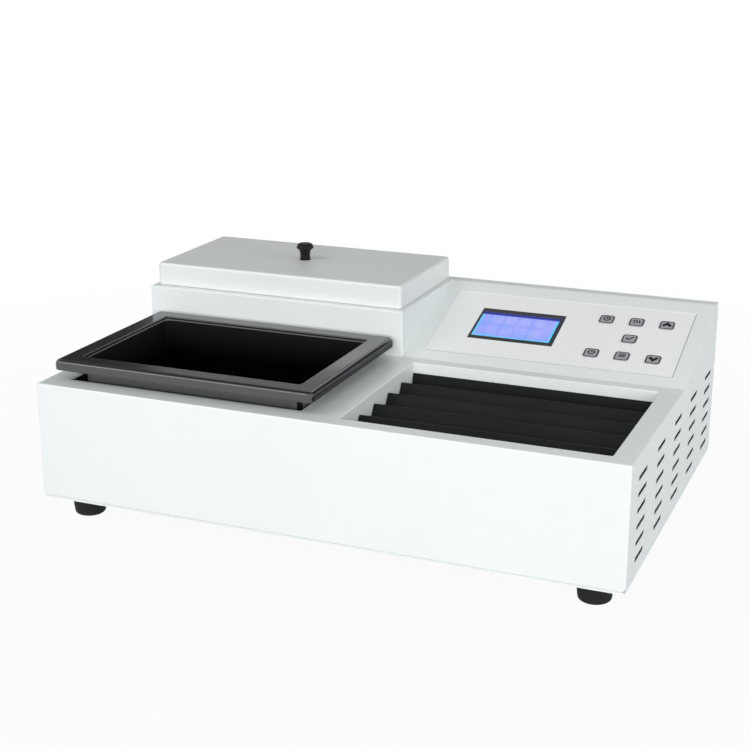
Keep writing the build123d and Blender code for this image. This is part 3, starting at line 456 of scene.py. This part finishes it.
POWDER_COAT = {
    "light": (0.800, 0.832, 0.832),
    "dark": (0.782, 0.815, 0.815),
    "rough": (0.30, 0.38),
    "grain": 1100.0,
    "bump": 0.00004,
}
cabinet_paint = coated("cabinet_powder_coat", **POWDER_COAT)
paint_hollow_shade(cabinet_paint)
tray_paint = coated("tray_powder_coat", **POWDER_COAT)
# Painted shade: a darker, warmer copy of the cabinet's powder coat that stands in for the shade on
# the lid
shaded_lid_paint = coated(
    "lid_powder_coat_shaded",
    light=(0.790, 0.814, 0.805),
    dark=(0.770, 0.794, 0.786),
    rough=(0.32, 0.40),
    grain=1100.0,
    bump=0.00004,
)
overlay_film = coated(
    "keypad_film",
    light=(0.870, 0.885, 0.875),
    dark=(0.855, 0.870, 0.860),
    rough=(0.36, 0.44),
    grain=2600.0,
    bump=0.00001,
)
shade_film_edges(overlay_film)
key_grey = coated(
    "key_rubber_grey",
    light=(0.36, 0.37, 0.385),
    dark=(0.33, 0.34, 0.355),
    rough=(0.45, 0.55),
    grain=2200.0,
    bump=0.00002,
)
key_ink = coated(
    "key_print_dark",
    light=(0.016, 0.016, 0.018),
    dark=(0.010, 0.010, 0.012),
    rough=(0.4, 0.5),
    grain=2600.0,
    bump=0.000005,
    gloss=0.1,
)
pan_black = coated(
    "pan_black_coating",
    light=(0.015, 0.016, 0.016),
    dark=(0.010, 0.011, 0.011),
    rough=(0.32, 0.42),
    grain=1500.0,
    bump=0.00002,
    gloss=0.0,
)
paint_pan_light_and_shade(pan_black)
rack_black = coated(
    "rack_black_anodised",
    light=(0.013, 0.015, 0.015),
    dark=(0.009, 0.011, 0.011),
    rough=(0.45, 0.58),
    grain=2000.0,
    bump=0.00003,
    gloss=0.12,
)
foot_rubber = coated(
    "foot_black_rubber",
    light=(0.023, 0.024, 0.024),
    dark=(0.015, 0.016, 0.016),
    rough=(0.55, 0.75),
    grain=1300.0,
    bump=0.00006,
    gloss=0.12,
)
knob_black = coated(
    "knob_black_moulded",
    light=(0.012, 0.012, 0.013),
    dark=(0.008, 0.008, 0.009),
    rough=(0.14, 0.22),
    grain=700.0,
    bump=0.00001,
    coat=0.12,
    gloss=0.08,
)
bezel_black = coated(
    "bezel_satin_black",
    light=(0.022, 0.022, 0.024),
    dark=(0.014, 0.014, 0.016),
    rough=(0.35, 0.45),
    grain=1800.0,
    bump=0.00002,
)
light_window_lip(bezel_black)
inlet_black = coated(
    "inlet_black_moulded",
    light=(0.028, 0.028, 0.029),
    dark=(0.018, 0.018, 0.019),
    rough=(0.45, 0.6),
    grain=1600.0,
    bump=0.00004,
)
rocker_black = coated(
    "rocker_gloss_black",
    light=(0.022, 0.022, 0.023),
    dark=(0.014, 0.014, 0.015),
    rough=(0.18, 0.28),
    grain=900.0,
    bump=0.00001,
    coat=0.3,
)
heater_silicone = coated(
    "heater_red_silicone",
    light=(0.45, 0.085, 0.03),
    dark=(0.36, 0.06, 0.02),
    rough=(0.5, 0.65),
    grain=600.0,
    bump=0.0001,
)
gasket_silicone = coated(
    "gasket_grey_silicone",
    light=(0.42, 0.42, 0.42),
    dark=(0.34, 0.34, 0.34),
    rough=(0.55, 0.7),
    grain=1200.0,
    bump=0.00005,
    dust=0.1,
)
insulation_wool = coated(
    "insulation_mineral_wool",
    light=(0.62, 0.55, 0.36),
    dark=(0.44, 0.37, 0.22),
    rough=(0.9, 1.0),
    grain=420.0,
    bump=0.0006,
)
board_green = coated(
    "board_green_mask",
    light=(0.03, 0.16, 0.06),
    dark=(0.02, 0.11, 0.04),
    rough=(0.3, 0.45),
    grain=500.0,
    bump=0.00005,
)
switch_black = coated(
    "switch_black_moulded",
    light=(0.03, 0.03, 0.03),
    dark=(0.02, 0.02, 0.02),
    rough=(0.4, 0.55),
    grain=1800.0,
    bump=0.00003,
)
transformer_core = coated(
    "transformer_varnish",
    light=(0.10, 0.08, 0.06),
    dark=(0.05, 0.04, 0.035),
    rough=(0.35, 0.6),
    grain=700.0,
    bump=0.0001,
    metallic=0.5,
)
relay_blue = coated(
    "relay_blue_moulded",
    light=(0.03, 0.07, 0.25),
    dark=(0.02, 0.05, 0.19),
    rough=(0.3, 0.4),
    grain=1500.0,
    bump=0.00003,
)
base_zinc = metal(
    "base_zinc_sheet",
    light=(0.60, 0.61, 0.62),
    dark=(0.50, 0.51, 0.52),
    rough=(0.32, 0.48),
    lines=900.0,
    bump=0.00002,
)
screw_zinc = metal(
    "screw_zinc_plating",
    light=(0.62, 0.62, 0.61),
    dark=(0.52, 0.52, 0.51),
    rough=(0.25, 0.38),
    lines=3000.0,
    bump=0.00001,
)
stainless = metal(
    "stainless_brushed",
    light=(0.60, 0.59, 0.57),
    dark=(0.52, 0.51, 0.50),
    rough=(0.24, 0.38),
    lines=2600.0,
    bump=0.00002,
)
heater_aluminium = metal(
    "heater_plate_aluminium",
    light=(0.74, 0.74, 0.75),
    dark=(0.66, 0.66, 0.67),
    rough=(0.3, 0.45),
    lines=1800.0,
    bump=0.00002,
)
standoff_nickel = metal(
    "standoff_nickel",
    light=(0.66, 0.62, 0.54),
    dark=(0.58, 0.54, 0.46),
    rough=(0.2, 0.3),
    lines=3000.0,
    bump=0.00001,
)
pin_nickel = metal(
    "pin_nickel",
    light=(0.74, 0.73, 0.70),
    dark=(0.66, 0.65, 0.62),
    rough=(0.14, 0.24),
    lines=3000.0,
    bump=0.000005,
)


def clear_glass(name, tint, roughness):
    """Clear glass or acrylic: plain transmission, with only its bump changing over the surface."""
    material, tree, shader = new_material(name)
    texture = use_group(tree, FINE_GRAIN, Grain_per_Metre=300.0)
    shader.inputs["Base Color"].default_value = (*tint, 1.0)
    shader.inputs["Roughness"].default_value = roughness
    shader.inputs["IOR"].default_value = 1.49
    shader.inputs["Transmission Weight"].default_value = 1.0
    raise_bump(tree, shader, texture["Drift"], 0.2, 0.00002)
    return material


display_glass = clear_glass("display_window_glass", (0.96, 0.97, 1.0), 0.02)
fuse_glass = clear_glass("fuse_tube_glass", (0.97, 0.97, 0.96), 0.02)


def lit_panel():
    """The display's lit face: lilac blue, cyan at its edges, with painted shade along its top and
    faint blocks of pale dots.
    """
    half_width, half_height = 36.7 * MM, 19.6 * MM
    shift_left, shift_up = 2.0 * MM, 2.0 * MM
    side_start, side_full = 3.5 * MM, 1.0 * MM
    bottom_glow = 2.0 * MM
    top_start, top_full = 4.2 * MM, 3.4 * MM
    dot = 0.57 * MM
    row_half_pitch, row_gap = 9.1 * MM, 2.6 * MM
    column_half_pitch, column_gap = 6.8 * MM, 1.6 * MM
    blocks_end, blocks_gone = 27.0 * MM, 28.0 * MM
    unlit_share, lit_share = 0.60, 0.62
    faintness = 0.28

    material, tree, shader = new_material("display_lit_face")
    low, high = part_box("display_backlight")
    centre = (low + high) / 2 - ACROSS * shift_left + UP_SLOPE * shift_up
    place = add_node(
        tree,
        "ShaderNodeVectorMath",
        {0: object_place(tree), 1: centre},
        operation="SUBTRACT",
    ).outputs["Vector"]

    def along(direction):
        return add_node(
            tree,
            "ShaderNodeVectorMath",
            {0: place, 1: direction},
            operation="DOT_PRODUCT",
        ).outputs["Value"]

    across, upward = along(ACROSS), along(UP_SLOPE)
    from_middle = compute(tree, "ABSOLUTE", across)
    sides = stretch_range(tree, from_middle, half_width - side_start, half_width - side_full)
    bottom = stretch_range(tree, upward, -half_height, -half_height + bottom_glow, 1.0, 0.0)
    edge = compute(tree, "MAXIMUM", sides, bottom)
    # Painted shade along the top of the lit face
    top = stretch_range(tree, upward, half_height - top_start, half_height - top_full)
    drift = use_group(tree, FINE_GRAIN, Drift_per_Metre=55.0)["Drift"]
    lilac = blend_colour(tree, (0.22, 0.34, 0.90), (0.37, 0.38, 0.91), drift)
    cyan_edge = blend_colour(tree, lilac, (0.10, 0.60, 0.97), edge)
    shaded = blend_colour(tree, cyan_edge, (0.05, 0.06, 0.50), top)

    grid = add_node(
        tree,
        "ShaderNodeCombineXYZ",
        {"X": compute(tree, "SNAP", across, dot), "Y": compute(tree, "SNAP", upward, dot)},
    ).outputs[0]
    speckle = add_node(tree, "ShaderNodeTexWhiteNoise", {"Vector": grid}, noise_dimensions="2D")
    lit = stretch_range(tree, speckle.outputs["Value"], unlit_share, lit_share)

    def blocks(value, half_pitch, gap):
        """One in the blocks that repeat along a direction, nothing in the gaps between them."""
        return compute(tree, "GREATER_THAN", compute(tree, "PINGPONG", value, half_pitch), gap)

    rows = blocks(upward, row_half_pitch, row_gap)
    columns = blocks(across, column_half_pitch, column_gap)
    inside = stretch_range(tree, from_middle, blocks_end, blocks_gone, 1.0, 0.0)
    marks = multiply(tree, multiply(tree, multiply(tree, rows, columns), lit), inside)
    shown = blend_colour(tree, shaded, (0.75, 0.78, 1.0), multiply(tree, marks, faintness))
    shader.inputs["Base Color"].default_value = (0.02, 0.03, 0.08, 1.0)
    shader.inputs["Roughness"].default_value = 0.5
    tree.links.new(shown, shader.inputs["Emission Color"])
    shader.inputs["Emission Strength"].default_value = 1.0
    return material


display_lit = lit_panel()

finish_of_node = {
    cabinet_paint: (
        "front_panel left_side_panel right_side_panel deck_plate chamber_surround "
        "control_fascia rear_panel base_plate"
    ),
    tray_paint: "rack_tray",
    shaded_lid_paint: "lid_shell",
    base_zinc: "base_brackets",
    screw_zinc: "foot_screws base_screws panel_screws knob_screw",
    stainless: "bath_well chamber_liner lid_inner_tray",
    foot_rubber: "foot_front_left foot_front_right foot_rear_left foot_rear_right",
    pan_black: "bath_pan",
    rack_black: "slide_rack",
    heater_aluminium: "bath_heater_plate chamber_hot_plate safety_thermostats",
    heater_silicone: "bath_heater_mat rack_heater_mat chamber_heater_mat",
    insulation_wool: "bath_insulation rack_insulation chamber_insulation lid_insulation",
    gasket_silicone: "chamber_gasket",
    knob_black: "lid_knob",
    overlay_film: "keypad_overlay",
    key_grey: (
        "key_lower_left key_lower_middle key_down key_centre "
        "key_upper_left key_upper_middle key_up"
    ),
    switch_black: "key_switches",
    board_green: "control_board display_board power_board",
    standoff_nickel: "board_standoffs",
    bezel_black: "display_bezel",
    display_glass: "display_glass",
    display_lit: "display_backlight",
    transformer_core: "transformer",
    relay_blue: "relays",
    inlet_black: "inlet_body fuse_drawer rocker_frame",
    pin_nickel: "inlet_pins",
    fuse_glass: "fuse",
    rocker_black: "power_rocker",
}
for finish, names in finish_of_node.items():
    for name in names.split():
        piece = nodes[name]
        piece.data.materials.clear()
        piece.data.materials.append(finish)


# Printed marks on the keys

# Least cosine by which a line's width is divided at a corner, so that sharp points stay short
SHARPEST_CORNER = 0.35


def ribbon(mesh, points, width, closed, lift, thickness, place):
    """A printed line of even width through points of the key's face, as a thin closed solid."""
    count = len(points)
    rails = []
    for index, point in enumerate(points):
        before = points[index - 1] if closed or index > 0 else None
        after = points[(index + 1) % count] if closed or index < count - 1 else None
        here = Vector(point)
        into = (here - Vector(before)).normalized() if before else None
        out = (Vector(after) - here).normalized() if after else None
        into, out = into or out, out or into
        bisector = (into + out).normalized()
        normal = Vector((-bisector.y, bisector.x))
        reach = width / 2 / max(SHARPEST_CORNER, normal.dot(Vector((-into.y, into.x))))
        rails.append((here + normal * reach, here - normal * reach))
    corners = []
    for left, right in rails:
        corners.append(
            [
                mesh.verts.new(place(side.x, side.y, height))
                for height in (lift, lift + thickness)
                for side in (left, right)
            ]
        )
    spans = count if closed else count - 1
    for index in range(spans):
        low_l, low_r, top_l, top_r = corners[index]
        next_low_l, next_low_r, next_top_l, next_top_r = corners[(index + 1) % count]
        mesh.faces.new((top_l, next_top_l, next_top_r, top_r))
        mesh.faces.new((low_r, next_low_r, next_low_l, low_l))
        mesh.faces.new((low_l, next_low_l, next_top_l, top_l))
        mesh.faces.new((top_r, next_top_r, next_low_r, low_r))
    if not closed:
        low_l, low_r, top_l, top_r = corners[0]
        mesh.faces.new((low_l, top_l, top_r, low_r))
        low_l, low_r, top_l, top_r = corners[-1]
        mesh.faces.new((low_r, top_r, top_l, low_l))


def arc(radius, start, end, steps, x=0.0, y=0.0):
    """Points of an arc, angles in parts of a full turn."""
    return [
        (
            x + radius * cos(2 * pi * (start + (end - start) * step / steps)),
            y + radius * sin(2 * pi * (start + (end - start) * step / steps)),
        )
        for step in range(steps + 1)
    ]


def rounded_square(half, radius):
    """Points of a closed square outline with rounded corners."""
    points = []
    for quarter, (x, y) in enumerate(((1, 1), (-1, 1), (-1, -1), (1, -1))):
        middle_x, middle_y = x * (half - radius), y * (half - radius)
        points += arc(radius, quarter / 4, quarter / 4 + 0.25, 5, middle_x, middle_y)
    return points


# Marks in millimetres on a key's face: each is a list of (points, line width, closed)
CLOCK = [(arc(2.9, 0, 1, 20)[:-1], 1.3, True), ([(0, 1.6), (0, 0), (1.3, -0.6)], 1.1, False)]
HEAT = [
    (
        [(x + 0.6 * sin(2 * pi * step / 8), -2.4 + 4.8 * step / 8) for step in range(9)],
        1.1,
        False,
    )
    for x in (-2.4, 0.0, 2.4)
]
CONFIRM = [([(-3.2, 0.3), (-0.9, -2.1), (3.3, 2.4)], 1.5, False)]
POWER = [(arc(2.7, 0.33, 1.17, 18), 1.3, False), ([(0, 0.6), (0, 3.3)], 1.3, False)]
MENU = [([(-3.1, y), (3.1, y)], 1.2, False) for y in (-2.1, 0.0, 2.1)]
CHEVRON_UP = [([(-3.5, -2.3), (0, 2.0), (3.5, -2.3)], 3.1, False)]
CHEVRON_DOWN = [([(-3.5, 2.3), (0, -2.0), (3.5, 2.3)], 3.1, False)]
MARK_RAISE = 0.8
CHEVRON_RAISE = 0.6
key_marks = {
    "key_upper_left": (CLOCK, MARK_RAISE),
    "key_upper_middle": (HEAT, MARK_RAISE),
    "key_up": (CHEVRON_UP, CHEVRON_RAISE),
    "key_centre": (CONFIRM, MARK_RAISE),
    "key_lower_left": (POWER, MARK_RAISE),
    "key_lower_middle": (MENU, MARK_RAISE),
    "key_down": (CHEVRON_DOWN, CHEVRON_RAISE),
}

# Outline of each key, thickness of the ink, and the key's rise over the fascia, in millimetres
OUTLINE_HALF = 5.8
OUTLINE_RADIUS = 2.1
OUTLINE_WIDTH = 1.0
INK_LIFT = 0.01
INK_THICKNESS = 0.04
KEY_RISE = 0.9


def key_face_centre(name):
    """Middle of a key's top face: the cap's middle moved out to the height of its face."""
    low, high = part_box(name)
    middle = (low + high) / 2
    height = (middle - SLOPE_FOOT).dot(OUTWARD)
    return middle + OUTWARD * (KEY_RISE * MM - height)


for name, (strokes, raise_by) in key_marks.items():
    centre = key_face_centre(name)

    def on_key(x, y, height):
        return centre + ACROSS * (x * MM) + UP_SLOPE * (y * MM) + OUTWARD * (height * MM)

    print_mesh = bmesh.new()
    ribbon(
        print_mesh,
        rounded_square(OUTLINE_HALF, OUTLINE_RADIUS),
        OUTLINE_WIDTH,
        True,
        INK_LIFT,
        INK_THICKNESS,
        on_key,
    )
    for points, width, closed in strokes:
        raised = [(x, y + raise_by) for x, y in points]
        ribbon(print_mesh, raised, width, closed, INK_LIFT, INK_THICKNESS, on_key)
    bmesh.ops.recalc_face_normals(print_mesh, faces=print_mesh.faces)
    mesh = bpy.data.meshes.new(name + "_print")
    print_mesh.to_mesh(mesh)
    print_mesh.free()
    mesh.materials.append(key_ink)
    printed = bpy.data.objects.new(name + "_print", mesh)
    bpy.context.scene.collection.objects.link(printed)
    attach(printed, name + "_cap")


# Studio, lamps and camera

# The floor shows nearly all of its own white by the object, and all of it from SHADOW_FAR on
FLOOR_HALF = 30.0
FLOOR_GREY = 0.45
SHADOW_NEAR = 0.3
SHADOW_FAR = 0.9
WHITE_NEAR = 0.95

# How far behind the object the upright cards stand, and how high they reach
CARD_BEHIND = 3.1
CARD_TOP = 4.0

WORLD_FILL = 0.30


def seen_directly(tree, share):
    """The share given for camera, glossy and transmission rays, and nothing for the others."""
    path = tree.nodes.new("ShaderNodeLightPath").outputs
    either = compute(tree, "MAXIMUM", path["Is Camera Ray"], path["Is Glossy Ray"])
    any_of = compute(tree, "MAXIMUM", either, path["Is Transmission Ray"])
    return multiply(tree, any_of, share)


def make_floor():
    """A pale floor that shows white to the camera and to reflections but keeps a soft shadow."""
    mesh = bpy.data.meshes.new("studio_floor")
    corners = [
        (-FLOOR_HALF, -FLOOR_HALF, 0),
        (FLOOR_HALF, -FLOOR_HALF, 0),
        (FLOOR_HALF, FLOOR_HALF, 0),
        (-FLOOR_HALF, FLOOR_HALF, 0),
    ]
    mesh.from_pydata(corners, [], [(0, 1, 2, 3)])
    floor = bpy.data.objects.new("studio_floor", mesh)
    bpy.context.scene.collection.objects.link(floor)
    material = bpy.data.materials.new("studio_floor_white")
    material.use_nodes = True
    tree = material.node_tree
    tree.nodes.clear()
    matte = add_node(
        tree, "ShaderNodeBsdfDiffuse", {"Color": (FLOOR_GREY, FLOOR_GREY, FLOOR_GREY, 1.0)}
    )
    glow = add_node(tree, "ShaderNodeEmission", {"Color": (1.0, 1.0, 1.0, 1.0), "Strength": 1.0})
    outward = add_node(tree, "ShaderNodeVectorMath", {0: object_place(tree)}, operation="LENGTH")
    distance = outward.outputs["Value"]
    share = stretch_range(tree, distance, SHADOW_NEAR, SHADOW_FAR, WHITE_NEAR, 1.0)
    seen = seen_directly(tree, share)
    mixed = add_node(
        tree, "ShaderNodeMixShader", {0: seen, 1: matte.outputs[0], 2: glow.outputs[0]}
    )
    out = tree.nodes.new("ShaderNodeOutputMaterial")
    tree.links.new(mixed.outputs[0], out.inputs["Surface"])
    mesh.materials.append(material)


def make_card(name, grey, corners):
    """A card, grey or bright, that only reflections see, to shape what glossy pieces mirror."""
    mesh = bpy.data.meshes.new(name)
    mesh.from_pydata(corners, [], [(0, 1, 2, 3)])
    card = bpy.data.objects.new(name, mesh)
    bpy.context.scene.collection.objects.link(card)
    for ray in ("camera", "diffuse", "transmission", "volume_scatter", "shadow"):
        setattr(card, "visible_" + ray, False)
    material = bpy.data.materials.new(name)
    material.use_nodes = True
    tree = material.node_tree
    tree.nodes.clear()
    shade = add_node(tree, "ShaderNodeEmission", {"Color": (grey, grey, grey, 1.0)})
    out = tree.nodes.new("ShaderNodeOutputMaterial")
    tree.links.new(shade.outputs[0], out.inputs["Surface"])
    mesh.materials.append(material)


def upright_card(name, grey, left, right, bottom, top=CARD_TOP):
    """A card that stands behind the object, from one side to the other."""
    make_card(
        name,
        grey,
        [
            (left, CARD_BEHIND, bottom),
            (right, CARD_BEHIND, bottom),
            (right, CARD_BEHIND, top),
            (left, CARD_BEHIND, top),
        ],
    )


def make_world():
    """White where it is seen directly or mirrored, and a gentle grey as light."""
    world = bpy.data.worlds.new("studio_world")
    bpy.context.scene.world = world
    world.use_nodes = True
    tree = world.node_tree
    tree.nodes.clear()
    fill = add_node(
        tree, "ShaderNodeBackground", {"Color": (0.96, 0.99, 0.99, 1.0), "Strength": WORLD_FILL}
    )
    shown = add_node(tree, "ShaderNodeBackground", {"Color": (1.0, 1.0, 1.0, 1.0), "Strength": 1.0})
    mixed = add_node(
        tree,
        "ShaderNodeMixShader",
        {0: seen_directly(tree, 1.0), 1: fill.outputs[0], 2: shown.outputs[0]},
    )
    out = tree.nodes.new("ShaderNodeOutputWorld")
    tree.links.new(mixed.outputs[0], out.inputs["Surface"])


def softbox(name, place, aim, size, power, colour=(1.0, 1.0, 1.0)):
    """A rectangular studio lamp that looks at a point and is itself never seen or mirrored."""
    lamp = bpy.data.lights.new(name, "AREA")
    lamp.shape = "RECTANGLE"
    lamp.size, lamp.size_y = size
    lamp.energy = power
    lamp.color = colour
    holder = bpy.data.objects.new(name, lamp)
    holder.location = place
    holder.visible_glossy = False
    holder.visible_camera = False
    holder.rotation_euler = (Vector(aim) - Vector(place)).to_track_quat("-Z", "Y").to_euler()
    bpy.context.scene.collection.objects.link(holder)


make_floor()
make_world()
upright_card("left_card", 0.06, left=-5.0, right=-2.15, bottom=0.3)
upright_card("middle_card", 0.42, left=-2.15, right=-0.6, bottom=1.15)
upright_card("low_card", 0.24, left=-2.15, right=-1.05, bottom=0.3, top=1.15)
upright_card("ridge_card", 0.08, left=-1.05, right=-0.1, bottom=0.3, top=1.15)
upright_card("right_card", 0.08, left=0.5, right=3.5, bottom=0.6)
make_card(
    "top_card",
    0.08,
    [(-3.0, -1.0, 3.4), (3.0, -1.0, 3.4), (3.0, 2.0, 3.4), (-3.0, 2.0, 3.4)],
)
make_card(
    "highlight_card",
    3.2,
    [(-2.6, -1.9, 1.75), (-0.6, -1.9, 1.75), (-0.6, -1.6, 2.3), (-2.6, -1.6, 2.3)],
)
softbox(
    "front_softbox",
    place=(0.5, -2.6, 0.65),
    aim=(0.0, -0.1, 0.1),
    size=(2.4, 1.0),
    power=50.5,
)
softbox(
    "right_softbox",
    place=(2.6, -0.5, 0.9),
    aim=(0.1, 0.0, 0.1),
    size=(1.6, 1.2),
    power=24.5,
    colour=(0.95, 0.98, 1.0),
)
softbox(
    "high_left_softbox",
    place=(-1.4, -1.3, 1.7),
    aim=(0.0, 0.0, 0.1),
    size=(1.0, 1.0),
    power=11.5,
)
softbox(
    "rear_softbox",
    place=(-0.4, 3.0, 0.45),
    aim=(0.0, 0.1, 0.1),
    size=(2.0, 0.7),
    power=32.0,
)
softbox(
    "overhead_softbox",
    place=(0.3, -1.5, 2.3),
    aim=(0.0, 0.0, 0.1),
    size=(1.2, 1.2),
    power=5.0,
)

# Camera, fitted to the cabinet's corners in the photograph
CAMERA_LENS = 70.68
CAMERA_PLACE = (0.4622, -1.1528, 0.5029)
CAMERA_LOOK = Vector((-0.3645, 0.8813, -0.3008))
camera_data = bpy.data.cameras.new("photo_camera")
camera_data.sensor_width = 36.0
camera_data.lens = CAMERA_LENS
camera = bpy.data.objects.new("photo_camera", camera_data)
camera.location = CAMERA_PLACE
camera.rotation_mode = "QUATERNION"
camera.rotation_quaternion = CAMERA_LOOK.to_track_quat("-Z", "Y")
bpy.context.scene.collection.objects.link(camera)
bpy.context.scene.camera = camera
bpy.context.scene.view_settings.view_transform = "Standard"
